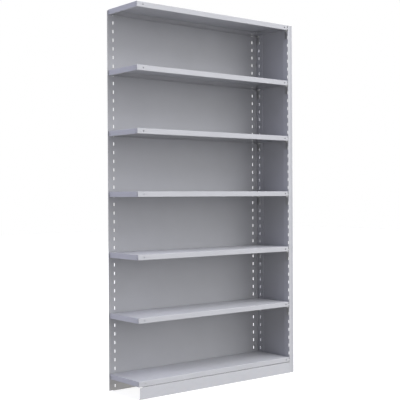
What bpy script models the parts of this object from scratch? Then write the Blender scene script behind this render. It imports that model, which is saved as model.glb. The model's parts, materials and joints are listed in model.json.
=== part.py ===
"""Add-on bay of boltless steel shelving.

Seven folded shelf pans sit on hook-in clips. The bay brings one closed upright at its right: a
rolled front post, an angle post at the rear and a side panel riveted between them. A slotted back
panel closes the rear and a kick plate closes the front under the lowest shelf. The left ends of
the shelves are made to sit on the upright of the bay next to it.

Metres, +Z up, the open front faces -Y, origin on the floor under the middle of the outline.
"""

import bmesh
import bpy
from mathutils import Matrix, Vector

# Overall sizes
BAY_CLEAR_WIDTH = 1.163
POST_FACE_WIDTH = 0.037
SHELF_ROOM_DEPTH = 0.293
PANEL_FOLD_DEPTH = 0.007
KICK_SPACE_HEIGHT = 0.070
SHELF_COUNT = 7
SLOT_PITCH = 0.050
SLOTS_PER_SHELF = 7

# Sheet thicknesses
SHELF_SHEET = 0.0010
PANEL_SHEET = 0.0010
POST_SHEET = 0.0015
CLIP_SHEET = 0.0020

# Clearances
TOUCH_GAP = 0.0003
SHELF_END_GAP = 0.005
SHELF_REAR_GAP = 0.0025
KICK_TOP_GAP = 0.0030
PANEL_TOP_GAP = 0.002
SIDE_PANEL_FLOOR_GAP = 0.003
FOLD_END_INSET = 0.030
FOLD_RELIEF = 0.003

# Shelf pan
SHELF_LIP_HEIGHT = 0.030
SHELF_HEM_WIDTH = 0.010
SHELF_BEND_RADIUS = 0.0018
CORNER_SLIT_WIDTH = 0.003
CORNER_SLIT_TOP = 0.004
LIP_HOLE_DIAMETER = 0.0083
LIP_HOLE_NEAR_INSET = 0.0230
LIP_HOLE_FAR_INSET = 0.0415
END_HOLE_DIAMETER = 0.006
END_HOLE_INSET = 0.018
END_HOLE_HEIGHT = 0.011

# Posts
POST_INNER_WALL = 0.045
POST_OUTER_WALL = 0.022
POST_CREASE_DEPTH = 0.0009
POST_CREASE_INSET = 0.0185
REAR_POST_WALL = 0.057
POST_BEND_RADIUS = 0.0015

# Slots
POST_SLOT_WIDTH = 0.0055
POST_SLOT_HEIGHT = 0.019
POST_SLOT_FIRST = 0.0245
POST_SLOT_CORNER = 0.0
FRONT_SLOT_INSET = 0.00475
REAR_SLOT_INSET = 0.0244
PANEL_SLOT_WIDTH = 0.0058
PANEL_SLOT_HEIGHT = 0.019
PANEL_SLOT_FIRST = 0.0275
PANEL_SLOT_INSET = 0.040
PANEL_SLOT_CORNER = 0.002
SLOT_END_MARGIN = 0.006

# Side panel laps
SIDE_LAP_FRONT_INSET = 0.020
SIDE_LAP_REAR_INSET = 0.035

# Kick plate
KICK_LEFT_INSET = 0.0113
KICK_FOLD = 0.012
KICK_FOLD_NOTCH = 0.022
TONGUE_REACH = 0.008
TONGUE_ROOT = 0.012
TONGUE_ROOT_SETBACK = 0.005
TONGUE_HEIGHT = 0.014
TONGUE_SHEET = 0.0010

# Shelf clip
CLIP_WIDTH = 0.0205
CLIP_ABOVE_SEAT = 0.020
CLIP_BELOW_SEAT = 0.055
LEDGE_LENGTH = 0.0125
LEDGE_EDGE_INSET = 0.001
HOOK_WIDTH = 0.0031
HOOK_NECK_HEIGHT = 0.0127
HOOK_DROP = 0.005
HOOK_NECK_INSET = 0.0002

# Rivets
RIVET_SHANK_DIAMETER = 0.0034
RIVET_HEAD_DIAMETER = 0.0066
RIVET_HEAD_HEIGHT = 0.0012
RIVET_DOME_WIDTH_SHARE = 0.6
RIVET_DOME_HEIGHT_SHARE = 0.8
RIVET_HOLE_GAP = 0.0003
RIVET_ROWS = 5
RIVET_END_MARGIN = 0.150
FRONT_RIVET_INSET = 0.032
REAR_RIVET_INSET = 0.046
BACK_RIVET_INSET = 0.0165

# Facets of round shapes and the overshoot of cutters
HOLE_SIDES = 10
RIVET_SIDES = 8
BEND_STEPS = 2
SHARP_ANGLE = 0.9
CUT_OVERSHOOT = 0.004

# Worked out from the sizes above
SHELF_PITCH = SLOT_PITCH * SLOTS_PER_SHELF
UNIT_WIDTH = BAY_CLEAR_WIDTH + POST_FACE_WIDTH
UNIT_DEPTH = SHELF_ROOM_DEPTH + PANEL_FOLD_DEPTH
UNIT_HEIGHT = KICK_SPACE_HEIGHT + SHELF_LIP_HEIGHT + (SHELF_COUNT - 1) * SHELF_PITCH
BAY_LEFT = -UNIT_WIDTH / 2
BAY_RIGHT = BAY_LEFT + BAY_CLEAR_WIDTH
UNIT_RIGHT = UNIT_WIDTH / 2
FRONT = -UNIT_DEPTH / 2
PANEL_FRONT = FRONT + SHELF_ROOM_DEPTH
BACK = UNIT_DEPTH / 2
SHELF_LENGTH = BAY_CLEAR_WIDTH - 2 * SHELF_END_GAP
SHELF_DEPTH = SHELF_ROOM_DEPTH - SHELF_REAR_GAP
FRONT_SLOT_Y = FRONT + FRONT_SLOT_INSET
REAR_SLOT_Y = PANEL_FRONT - REAR_SLOT_INSET
FLANGE_BACK = PANEL_FRONT - TOUCH_GAP
FLANGE_FRONT = FLANGE_BACK - POST_SHEET
SIDE_PANEL_INSIDE = BAY_RIGHT + POST_SHEET + TOUCH_GAP
POST_SLOT = (POST_SLOT_WIDTH, POST_SLOT_HEIGHT, POST_SLOT_CORNER)
PANEL_SLOT = (PANEL_SLOT_WIDTH, PANEL_SLOT_HEIGHT, PANEL_SLOT_CORNER)

# Finish colours as linear RGB, with roughness and metallic value
PAINT = ((0.46, 0.465, 0.485), 0.45, 0.0)
ZINC = ((0.55, 0.55, 0.56), 0.35, 1.0)


def remove_scene_objects():
    """Empty the scene without closing the file."""
    for old in list(bpy.data.objects):
        bpy.data.objects.remove(old, do_unlink=True)


def new_collection(name):
    """A collection linked to the scene."""
    collection = bpy.data.collections.new(name)
    bpy.context.scene.collection.children.link(collection)
    return collection


def new_material(name, finish):
    """A plain Principled finish."""
    colour, roughness, metallic = finish
    material = bpy.data.materials.new(name)
    material.use_nodes = True
    shader = material.node_tree.nodes["Principled BSDF"]
    shader.inputs["Base Color"].default_value = (*colour, 1.0)
    shader.inputs["Roughness"].default_value = roughness
    shader.inputs["Metallic"].default_value = metallic
    return material


def new_object(name, mesh, collection, location=(0.0, 0.0, 0.0)):
    """An object with this mesh at this place."""
    piece = bpy.data.objects.new(name, mesh)
    piece.location = location
    collection.objects.link(piece)
    return piece


def mesh_from(bm, name):
    """Turn a bmesh into mesh data and free it."""
    mesh = bpy.data.meshes.new(name)
    bm.to_mesh(mesh)
    bm.free()
    return mesh


def add_box(bm, low, high):
    """Add a box between two corners and return its vertices."""
    low = Vector(low)
    high = Vector(high)
    size = high - low
    place = Matrix.Translation((low + high) / 2) @ Matrix.Diagonal((*size, 1.0))
    return bmesh.ops.create_cube(bm, size=1.0, matrix=place)["verts"]


def add_rod(bm, centre, direction, diameter, length, sides):
    """Add a closed cylinder about a point, along a direction."""
    turn = Vector((0, 0, 1)).rotation_difference(Vector(direction)).to_matrix().to_4x4()
    place = Matrix.Translation(centre) @ turn
    bmesh.ops.create_cone(
        bm, cap_ends=True, segments=sides, radius1=diameter / 2, radius2=diameter / 2,
        depth=length, matrix=place)


def box_object(name, low, high, collection):
    """A box as an object of its own."""
    bm = bmesh.new()
    add_box(bm, low, high)
    return new_object(name, mesh_from(bm, name), collection)


def as_cutter(piece):
    """Mark an object as a tool that shapes another piece."""
    piece.display_type = "WIRE"
    piece.hide_render = True
    return piece


def add_boolean(piece, tool, operation="DIFFERENCE", solver="EXACT"):
    """Cut or join a piece with a tool."""
    modifier = piece.modifiers.new(operation.title(), "BOOLEAN")
    modifier.operation = operation
    modifier.solver = solver
    modifier.object = tool


def punch(piece, tool):
    """Cut a pattern of holes out of a sheet, with the solver that keeps long patterns closed."""
    add_boolean(piece, tool, solver="MANIFOLD")


def add_thickness(piece, thickness):
    """Give an open surface its sheet thickness, on the inner side of its folds."""
    modifier = piece.modifiers.new("Sheet", "SOLIDIFY")
    modifier.thickness = thickness
    modifier.offset = -1.0
    modifier.use_even_offset = True


def baked_mesh(piece, name):
    """The finished mesh of a piece, with its modifiers applied."""
    bpy.context.view_layer.update()
    graph = bpy.context.evaluated_depsgraph_get()
    mesh = bpy.data.meshes.new_from_object(piece.evaluated_get(graph))
    mesh.name = name
    return mesh


def folded_surface(profile, sweep, bend_radius):
    """Sweep a bent line of points into an open surface with rounded folds."""
    bm = bmesh.new()
    corners = [bm.verts.new(point) for point in profile]
    edges = [bm.edges.new(pair) for pair in zip(corners, corners[1:])]
    swept = bmesh.ops.extrude_edge_only(bm, edges=edges)["geom"]
    moved = [item for item in swept if isinstance(item, bmesh.types.BMVert)]
    bmesh.ops.translate(bm, verts=moved, vec=Vector(sweep))
    folds = [edge for edge in bm.edges if len(edge.link_faces) == 2]
    bmesh.ops.bevel(
        bm, geom=folds, offset=bend_radius, offset_type="OFFSET", segments=BEND_STEPS,
        profile=0.5, affect="EDGES")
    return bm


def slot_rows(first, height, top):
    """How many slots fit one above the other below a top edge."""
    room = top - SLOT_END_MARGIN - height / 2 - first
    return int(room / SLOT_PITCH + 1e-6) + 1


def cut_corners(bm, through, corner):
    """Take the corners off a slot, along the edges that run through the sheet."""
    edges = []
    for edge in bm.edges:
        along = edge.verts[1].co - edge.verts[0].co
        if abs(along.normalized()[through]) > 0.9:
            edges.append(edge)
    bmesh.ops.bevel(
        bm, geom=edges, offset=corner, offset_type="OFFSET", segments=1, profile=0.5,
        affect="EDGES")


def slot_cutter(name, through, size, centre, rows, collection):
    """A column of slots cut along the through axis, as one cutter with an Array up the sheet."""
    bm = bmesh.new()
    width, height, corner = size
    half = Vector((width / 2, width / 2, height / 2))
    half[through] = CUT_OVERSHOOT
    add_box(bm, -half, half)
    if corner > 0.0:
        cut_corners(bm, through, corner)
    cutter = as_cutter(new_object(name, mesh_from(bm, name), collection, centre))
    column = cutter.modifiers.new("Column", "ARRAY")
    column.count = rows
    column.use_relative_offset = False
    column.use_constant_offset = True
    column.constant_offset_displace = (0.0, 0.0, SLOT_PITCH)
    column.use_merge_vertices = False
    return cutter


def rivet_heights():
    """Heights of the rivets, evenly spread and clear of both ends."""
    span = UNIT_HEIGHT - 2 * RIVET_END_MARGIN
    return [RIVET_END_MARGIN + span * row / (RIVET_ROWS - 1) for row in range(RIVET_ROWS)]


def rivet_hole_cutter(name, spots, direction, collection):
    """Holes for a column of rivets, as one cutter."""
    bm = bmesh.new()
    for spot in spots:
        add_rod(bm, spot, direction, RIVET_SHANK_DIAMETER + 2 * RIVET_HOLE_GAP,
                2 * CUT_OVERSHOOT, RIVET_SIDES)
    return as_cutter(new_object(name, mesh_from(bm, name), collection))


def rivet_columns():
    """Each rivet column: its name, its spots on the seen face and the way it points out."""
    heights = rivet_heights()
    front_y = FRONT + FRONT_RIVET_INSET
    rear_y = PANEL_FRONT - REAR_RIVET_INSET
    back_x = UNIT_RIGHT - BACK_RIVET_INSET
    return {
        "side_front": ([Vector((BAY_RIGHT, front_y, z)) for z in heights], Vector((-1, 0, 0))),
        "side_rear": ([Vector((BAY_RIGHT, rear_y, z)) for z in heights], Vector((-1, 0, 0))),
        "back": ([Vector((back_x, FLANGE_FRONT, z)) for z in heights], Vector((0, -1, 0))),
    }


def build_front_post(parts, tools, material, holes):
    """Rolled front post: slotted inner wall, face creased along its middle, short outer wall."""
    profile = [
        (UNIT_RIGHT, FRONT + POST_OUTER_WALL, 0.0),
        (UNIT_RIGHT, FRONT, 0.0),
        (BAY_RIGHT + POST_CREASE_INSET, FRONT + POST_CREASE_DEPTH, 0.0),
        (BAY_RIGHT, FRONT, 0.0),
        (BAY_RIGHT, FRONT + POST_INNER_WALL, 0.0),
    ]
    bm = folded_surface(profile, (0.0, 0.0, UNIT_HEIGHT), POST_BEND_RADIUS)
    post = new_object("front_post", mesh_from(bm, "front_post"), parts)
    add_thickness(post, POST_SHEET)
    rows = slot_rows(POST_SLOT_FIRST, POST_SLOT_HEIGHT, UNIT_HEIGHT)
    centre = (BAY_RIGHT, FRONT_SLOT_Y, POST_SLOT_FIRST)
    slots = slot_cutter("front_post_slots", 0, POST_SLOT, centre, rows, tools)
    punch(post, slots)
    punch(post, holes["side_front"])
    post.data.materials.append(material)


def build_rear_post(parts, tools, material, holes):
    """Angle post at the rear: slotted side wall, and a flange turned outwards before the back panel."""
    profile = [
        (BAY_RIGHT, PANEL_FRONT - REAR_POST_WALL, 0.0),
        (BAY_RIGHT, FLANGE_BACK, 0.0),
        (UNIT_RIGHT, FLANGE_BACK, 0.0),
    ]
    bm = folded_surface(profile, (0.0, 0.0, UNIT_HEIGHT), POST_BEND_RADIUS)
    post = new_object("rear_post", mesh_from(bm, "rear_post"), parts)
    add_thickness(post, POST_SHEET)
    rows = slot_rows(POST_SLOT_FIRST, POST_SLOT_HEIGHT, UNIT_HEIGHT)
    centre = (BAY_RIGHT, REAR_SLOT_Y, POST_SLOT_FIRST)
    slots = slot_cutter("rear_post_slots", 0, POST_SLOT, centre, rows, tools)
    punch(post, slots)
    punch(post, holes["side_rear"])
    punch(post, holes["back"])
    post.data.materials.append(material)


def build_side_panel(parts, material, holes):
    """Flat side sheet lapped outside both posts."""
    low = (SIDE_PANEL_INSIDE, FRONT + SIDE_LAP_FRONT_INSET, SIDE_PANEL_FLOOR_GAP)
    rear = PANEL_FRONT - SIDE_LAP_REAR_INSET
    high = (SIDE_PANEL_INSIDE + PANEL_SHEET, rear, UNIT_HEIGHT - PANEL_TOP_GAP)
    panel = box_object("side_panel", low, high, parts)
    punch(panel, holes["side_front"])
    punch(panel, holes["side_rear"])
    panel.data.materials.append(material)


def fold_relief_cutter(top, collection):
    """Cuts at the panel's corners that stop its folds short of its ends, as one cutter."""
    bm = bmesh.new()
    x_spans = (
        (BAY_LEFT - CUT_OVERSHOOT, BAY_LEFT + FOLD_END_INSET),
        (UNIT_RIGHT - FOLD_END_INSET, UNIT_RIGHT + CUT_OVERSHOOT),
    )
    z_spans = ((-CUT_OVERSHOOT, FOLD_RELIEF), (top - FOLD_RELIEF, top + CUT_OVERSHOOT))
    for x_low, x_high in x_spans:
        for z_low, z_high in z_spans:
            add_box(
                bm, (x_low, PANEL_FRONT - CUT_OVERSHOOT, z_low),
                (x_high, BACK + CUT_OVERSHOOT, z_high))
    name = "back_panel_reliefs"
    return as_cutter(new_object(name, mesh_from(bm, name), collection))


def build_back_panel(parts, tools, material, holes):
    """Back sheet with a slot column near each edge, folded back along its top and bottom."""
    top = UNIT_HEIGHT - PANEL_TOP_GAP
    profile = [
        (BAY_LEFT, BACK, 0.0),
        (BAY_LEFT, PANEL_FRONT, 0.0),
        (BAY_LEFT, PANEL_FRONT, top),
        (BAY_LEFT, BACK, top),
    ]
    bm = folded_surface(profile, (UNIT_WIDTH, 0.0, 0.0), POST_BEND_RADIUS)
    panel = new_object("back_panel", mesh_from(bm, "back_panel"), parts)
    add_thickness(panel, PANEL_SHEET)
    rows = slot_rows(PANEL_SLOT_FIRST, PANEL_SLOT_HEIGHT, top)
    places = {"left": BAY_LEFT + PANEL_SLOT_INSET, "right": BAY_RIGHT - PANEL_SLOT_INSET}
    for side, x in places.items():
        centre = (x, PANEL_FRONT, PANEL_SLOT_FIRST)
        slots = slot_cutter("back_panel_slots_" + side, 1, PANEL_SLOT, centre, rows, tools)
        punch(panel, slots)
    punch(panel, holes["back"])
    punch(panel, fold_relief_cutter(top, tools))
    panel.data.materials.append(material)


def build_kick_plate(parts, tools, material):
    """Folded kick plate with a tongue through the lowest slot of the front post."""
    left = BAY_LEFT + KICK_LEFT_INSET
    right = BAY_RIGHT - TOUCH_GAP
    top = KICK_SPACE_HEIGHT - KICK_TOP_GAP
    profile = [
        (left, FRONT + KICK_FOLD, 0.0),
        (left, FRONT, 0.0),
        (left, FRONT, top),
        (left, FRONT + KICK_FOLD, top),
    ]
    bm = folded_surface(profile, (right - left, 0.0, 0.0), SHELF_BEND_RADIUS)
    plate = new_object("kick_plate", mesh_from(bm, "kick_plate"), parts)
    add_thickness(plate, SHELF_SHEET)
    notch_floor = top - SHELF_BEND_RADIUS - SHELF_SHEET
    fold_ends = {
        "left": (left - CUT_OVERSHOOT, left + KICK_FOLD_NOTCH),
        "right": (right - KICK_FOLD_NOTCH, right + CUT_OVERSHOOT),
    }
    for side, (x_low, x_high) in fold_ends.items():
        low = (x_low, FRONT + SHELF_SHEET + TOUCH_GAP, notch_floor)
        high = (x_high, FRONT + KICK_FOLD + CUT_OVERSHOOT, top + CUT_OVERSHOOT)
        add_boolean(plate, as_cutter(box_object("kick_plate_notch_" + side, low, high, tools)))
    front_of_slot = FRONT_SLOT_Y - POST_SLOT_WIDTH / 2
    tongue_front = front_of_slot + TOUCH_GAP
    tongue_low = POST_SLOT_FIRST - TONGUE_HEIGHT / 2
    tongue_high = POST_SLOT_FIRST + TONGUE_HEIGHT / 2
    root_right = right - TONGUE_ROOT_SETBACK
    root_left = root_right - TONGUE_ROOT
    tongue = box_object(
        "kick_plate_tongue",
        (root_left, tongue_front, tongue_low),
        (BAY_RIGHT + POST_SHEET + TONGUE_REACH, tongue_front + TONGUE_SHEET, tongue_high), tools)
    root = box_object(
        "kick_plate_tongue_root",
        (root_left + TOUCH_GAP, FRONT + SHELF_SHEET / 2, tongue_low + TOUCH_GAP),
        (root_right, tongue_front + TONGUE_SHEET / 2, tongue_high - TOUCH_GAP), tools)
    add_boolean(tongue, as_cutter(root), "UNION")
    add_boolean(plate, as_cutter(tongue), "UNION")
    plate.data.materials.append(material)


def shelf_surface():
    """Open pan surface about the middle of the shelf's underside: top, four flanges and a hem."""
    half = Vector((SHELF_LENGTH / 2, SHELF_DEPTH / 2, 0.0))
    bm = bmesh.new()
    add_box(bm, -half, (half.x, half.y, SHELF_LIP_HEIGHT))
    underside = [face for face in bm.faces if face.normal.z < -0.5]
    bmesh.ops.delete(bm, geom=underside, context="FACES_ONLY")
    rim = [edge for edge in bm.edges if edge.is_boundary]
    swept = bmesh.ops.extrude_edge_only(bm, edges=rim)["geom"]
    for vert in [item for item in swept if isinstance(item, bmesh.types.BMVert)]:
        vert.co.x -= SHELF_HEM_WIDTH if vert.co.x > 0 else -SHELF_HEM_WIDTH
        vert.co.y -= SHELF_HEM_WIDTH if vert.co.y > 0 else -SHELF_HEM_WIDTH
    folds = []
    for edge in bm.edges:
        level = abs(edge.verts[0].co.z - edge.verts[1].co.z) < TOUCH_GAP
        if level and len(edge.link_faces) == 2 and edge.calc_face_angle() > 1.0:
            folds.append(edge)
    bmesh.ops.bevel(
        bm, geom=folds, offset=SHELF_BEND_RADIUS, offset_type="OFFSET", segments=BEND_STEPS,
        profile=0.5, affect="EDGES")
    return bm


def shelf_cutter(collection):
    """Corner slits, lip holes and end holes of one shelf, as one cutter."""
    half_x = SHELF_LENGTH / 2
    half_y = SHELF_DEPTH / 2
    bm = bmesh.new()
    for sign_x in (-1, 1):
        for sign_y in (-1, 1):
            x_pair = sorted((sign_x * (half_x + CUT_OVERSHOOT), sign_x * (half_x - SHELF_HEM_WIDTH)))
            slit_outer = half_y - SHELF_SHEET - TOUCH_GAP
            y_pair = sorted((sign_y * slit_outer, sign_y * (slit_outer - CORNER_SLIT_WIDTH)))
            add_box(
                bm, (x_pair[0], y_pair[0], -CUT_OVERSHOOT),
                (x_pair[1], y_pair[1], SHELF_LIP_HEIGHT - CORNER_SLIT_TOP))
            inset = LIP_HOLE_FAR_INSET if sign_x == sign_y else LIP_HOLE_NEAR_INSET
            lip_spot = (sign_x * (half_x - inset), sign_y * half_y, SHELF_LIP_HEIGHT / 2)
            add_rod(bm, lip_spot, (0, 1, 0), LIP_HOLE_DIAMETER, 2 * CUT_OVERSHOOT, HOLE_SIDES)
            end_spot = (sign_x * half_x, sign_y * (half_y - END_HOLE_INSET), END_HOLE_HEIGHT)
            add_rod(bm, end_spot, (1, 0, 0), END_HOLE_DIAMETER, 2 * CUT_OVERSHOOT, HOLE_SIDES)
    return as_cutter(new_object("shelf_cuts", mesh_from(bm, "shelf_cuts"), collection))


def build_shelves(parts, tools, material):
    """Seven alike shelf pans, shelf_1 at the top, each with its origin on its lift axis."""
    pattern = new_object("shelf_pattern", mesh_from(shelf_surface(), "shelf_pattern"), tools)
    as_cutter(pattern)
    add_thickness(pattern, SHELF_SHEET)
    add_boolean(pattern, shelf_cutter(tools))
    mesh = baked_mesh(pattern, "shelf")
    mesh.materials.append(material)
    middle_x = BAY_LEFT + BAY_CLEAR_WIDTH / 2
    middle_y = FRONT + SHELF_DEPTH / 2
    for number in range(1, SHELF_COUNT + 1):
        new_object("shelf_%d" % number, mesh, parts, (middle_x, middle_y, shelf_seat(number)))


def shelf_seat(number):
    """Height of a shelf's underside; shelf 1 is the top one."""
    return KICK_SPACE_HEIGHT + (SHELF_COUNT - number) * SHELF_PITCH


def slot_above_seat():
    """Height from a shelf's underside to the middle of the slot its clips hook into."""
    first = shelf_seat(SHELF_COUNT)
    steps = round((first - POST_SLOT_FIRST) / SLOT_PITCH)
    return POST_SLOT_FIRST + steps * SLOT_PITCH - first


def build_clips(parts, tools, material):
    """Hook-in shelf clips on the right upright, one front and one rear for each shelf."""
    wall_side = -TOUCH_GAP
    plate_inside = wall_side - CLIP_SHEET
    plate_middle = wall_side - CLIP_SHEET / 2
    hook_middle = slot_above_seat()
    neck_low = hook_middle - POST_SLOT_HEIGHT / 2 + TOUCH_GAP
    neck_high = neck_low + HOOK_NECK_HEIGHT
    hook_front = -POST_SLOT_WIDTH / 2 + TONGUE_SHEET + 3 * TOUCH_GAP
    plate_front = hook_front - TOUCH_GAP
    behind_wall = POST_SHEET + TOUCH_GAP
    drop_middle = behind_wall + CLIP_SHEET / 2
    hook_rear = hook_front + HOOK_WIDTH
    plate = box_object(
        "clip_pattern",
        (plate_inside, plate_front, -CLIP_BELOW_SEAT),
        (wall_side, plate_front + CLIP_WIDTH, CLIP_ABOVE_SEAT), tools)
    ledge = box_object(
        "clip_ledge",
        (plate_inside - LEDGE_LENGTH, plate_front + LEDGE_EDGE_INSET, -TOUCH_GAP - CLIP_SHEET),
        (plate_middle, plate_front + CLIP_WIDTH - LEDGE_EDGE_INSET, -TOUCH_GAP), tools)
    neck = box_object(
        "clip_neck",
        (plate_middle, hook_front + HOOK_NECK_INSET, neck_low),
        (drop_middle, hook_rear - HOOK_NECK_INSET, neck_high - HOOK_NECK_INSET), tools)
    drop = box_object(
        "clip_drop",
        (behind_wall, hook_front, neck_low - HOOK_DROP),
        (behind_wall + CLIP_SHEET, hook_rear, neck_high), tools)
    for piece in (ledge, neck, drop):
        add_boolean(plate, as_cutter(piece), "UNION")
    mesh = baked_mesh(as_cutter(plate), "shelf_clip")
    mesh.materials.append(material)
    for number in range(1, SHELF_COUNT + 1):
        for place, slot_y in (("front", FRONT_SLOT_Y), ("rear", REAR_SLOT_Y)):
            spot = (BAY_RIGHT, slot_y, shelf_seat(number))
            new_object("shelf_clip_%s_%d" % (place, number), mesh, parts, spot)


def rivet_mesh(name, grip, tools):
    """A rivet turned about Z: head above z = 0, shank through the grip, closing head below."""
    head = RIVET_HEAD_DIAMETER / 2
    shank = RIVET_SHANK_DIAMETER / 2
    dome = head * RIVET_DOME_WIDTH_SHARE
    rise = RIVET_HEAD_HEIGHT * RIVET_DOME_HEIGHT_SHARE
    seat = TOUCH_GAP
    foot = -grip - TOUCH_GAP
    profile = [
        (0.0, seat + RIVET_HEAD_HEIGHT),
        (dome, seat + rise),
        (head, seat),
        (shank, seat),
        (shank, foot),
        (head, foot),
        (dome, foot - rise),
        (0.0, foot - RIVET_HEAD_HEIGHT),
    ]
    bm = bmesh.new()
    points = [bm.verts.new((radius, 0.0, z)) for radius, z in profile]
    for pair in zip(points, points[1:]):
        bm.edges.new(pair)
    pattern = as_cutter(new_object(name, mesh_from(bm, name), tools))
    turn = pattern.modifiers.new("Turn", "SCREW")
    turn.steps = RIVET_SIDES
    turn.render_steps = RIVET_SIDES
    turn.use_merge_vertices = True
    turn.merge_threshold = 0.00001
    mesh = baked_mesh(pattern, name)
    mesh.shade_smooth()
    mesh.set_sharp_from_angle(angle=SHARP_ANGLE)
    return mesh


def build_rivets(parts, tools, material):
    """Rivets through the laps of the side panel and of the back panel."""
    grips = {
        "side_front": POST_SHEET + TOUCH_GAP + PANEL_SHEET,
        "side_rear": POST_SHEET + TOUCH_GAP + PANEL_SHEET,
        "back": PANEL_SHEET + TOUCH_GAP + POST_SHEET,
    }
    for column, (spots, outward) in rivet_columns().items():
        mesh = rivet_mesh("rivet_" + column, grips[column], tools)
        mesh.materials.append(material)
        turn = Vector((0, 0, 1)).rotation_difference(outward)
        for row, spot in enumerate(spots, 1):
            rivet = new_object("rivet_%s_%d" % (column, row), mesh, parts, spot)
            rivet.rotation_mode = "QUATERNION"
            rivet.rotation_quaternion = turn


def main():
    """Build every piece of the bay."""
    remove_scene_objects()
    parts = new_collection("boltless_shelving_bay")
    tools = new_collection("cutters")
    holes = {}
    for column, (spots, outward) in rivet_columns().items():
        holes[column] = rivet_hole_cutter("holes_" + column, spots, outward, tools)
    build_front_post(parts, tools, new_material("front_post_paint", PAINT), holes)
    build_rear_post(parts, tools, new_material("rear_post_paint", PAINT), holes)
    build_side_panel(parts, new_material("side_panel_paint", PAINT), holes)
    build_back_panel(parts, tools, new_material("back_panel_paint", PAINT), holes)
    build_kick_plate(parts, tools, new_material("kick_plate_paint", PAINT))
    build_shelves(parts, tools, new_material("shelf_paint", PAINT))
    build_clips(parts, tools, new_material("clip_zinc", ZINC))
    build_rivets(parts, tools, new_material("rivet_paint", PAINT))
    bpy.context.view_layer.update()


main()
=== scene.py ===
"""Looks of one add-on bay of boltless steel shelving.

Each sheet-metal piece is cut as a flat blank, with its slots and holes, and is then folded along its
bend lines as on a press brake. Clips and rivets are shaped on their own. The finish is a satin powder
coat, with bright zinc on the clips.
"""

import json
import math

import bmesh
import bpy
from bpy.props import FloatProperty, FloatVectorProperty, IntProperty, PointerProperty
from mathutils import Matrix, Vector


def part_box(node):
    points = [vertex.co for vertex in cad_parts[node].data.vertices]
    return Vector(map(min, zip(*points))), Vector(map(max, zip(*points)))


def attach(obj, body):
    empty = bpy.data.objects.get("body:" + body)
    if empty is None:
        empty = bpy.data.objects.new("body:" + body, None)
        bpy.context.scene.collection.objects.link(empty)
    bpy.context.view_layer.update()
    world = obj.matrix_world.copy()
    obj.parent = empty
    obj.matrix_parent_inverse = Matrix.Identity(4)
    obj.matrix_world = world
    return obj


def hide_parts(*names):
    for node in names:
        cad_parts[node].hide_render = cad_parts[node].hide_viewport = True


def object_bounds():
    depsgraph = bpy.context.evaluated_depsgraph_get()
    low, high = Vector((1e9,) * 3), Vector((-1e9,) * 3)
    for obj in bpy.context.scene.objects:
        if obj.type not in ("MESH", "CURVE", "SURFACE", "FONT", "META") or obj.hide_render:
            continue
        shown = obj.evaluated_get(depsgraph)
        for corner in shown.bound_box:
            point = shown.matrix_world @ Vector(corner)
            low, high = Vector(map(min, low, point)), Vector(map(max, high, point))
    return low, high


bl_info = {
    "name": "Boltless Shelving Bay",
    "version": (1, 0, 0),
    "blender": (4, 5, 0),
    "location": "View3D > Sidebar > Shelving",
    "description": "Folds, clips and paints one bay of boltless steel shelving",
    "category": "Object",
}

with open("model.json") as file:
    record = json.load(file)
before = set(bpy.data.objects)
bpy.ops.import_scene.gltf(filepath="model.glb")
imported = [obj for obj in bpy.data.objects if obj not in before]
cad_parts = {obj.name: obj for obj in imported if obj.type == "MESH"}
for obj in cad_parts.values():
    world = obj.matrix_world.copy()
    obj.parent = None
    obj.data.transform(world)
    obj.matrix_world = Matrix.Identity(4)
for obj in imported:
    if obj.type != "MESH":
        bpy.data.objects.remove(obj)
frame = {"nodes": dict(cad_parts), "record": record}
CAD_LOW, CAD_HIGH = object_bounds()

FRAME_BODY = "frame"
SHELF_BODIES = {members[0]: body for body, members in frame["record"]["behaviour"]["bodies"].items()
                if len(members) == 1}
POST_LOW, POST_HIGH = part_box("front_post")
PANEL_LOW, PANEL_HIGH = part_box("back_panel")
BAY_RIGHT = POST_LOW.x
BAY_LEFT = PANEL_LOW.x
FRONT = POST_LOW.y
PANEL_FRONT = PANEL_LOW.y

MILLIMETRES = 1000.0
MERGE = 0.000002
SMOOTH_ANGLE = math.radians(50)
NORMAL_WEIGHT = 80
EDGE_STEPS = 1
SLOT_CORNER_STEPS = 3
WHITE = (1.0, 1.0, 1.0)

# Flats along a pan's fold lines, counted from the hem
PAN_TOP = 2
PAN_LIP = 3
PAN_HEM = 4

# Flats along the fold lines of the other sheets
POST_WALL = 0
POST_FLANGE = 1
FACE = 1

# Sockets of a colour mix, whose names other kinds of mix use too
MIX_FIRST = 6
MIX_SECOND = 7
MIX_RESULT = 2

# Range that holds most of a noise, and how far rounded normals agree off an edge and on it
NOISE_LOW = 0.3
NOISE_HIGH = 0.7
OFF_EDGE = 0.99
ON_EDGE = 0.80
EDGE_SAMPLES = 4

# Noises of the finish: size of a spot, detail, and roughness where it isn't the usual one
DRIFT = (0.18, 3.0)
HANDLED = (0.05, 4.0, 0.6)
PATCHES = (0.006, 3.0)
MARKS = (0.0006, 2.0)
PEEL_DETAIL = 1.0
GRAIN_DETAIL = 2.0
GRAIN_SHARE = 0.25
MARK_STRETCH = 0.05
MARK_DEPTH = 0.00002

# How far the roughness of paint and zinc drifts
ROUGH_SPREAD = 0.05
ZINC_SHINE = 0.08
ZINC_DULLING = 0.10

# Rivets and clips: shares of the pit and of the rib
CROWN_STEPS = 5
PIT_FLOOR = 0.8
PIT_RIM = 1.2
PIT_CHAMFER = 0.25
RIB_SLOPE = 1.5


def declared_as(kind, **traits):
    """A kind of setting, to be declared by its name, description and default."""
    def declare(name, description, default):
        return kind(name=name, description=description, default=default, **traits)
    return declare


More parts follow.
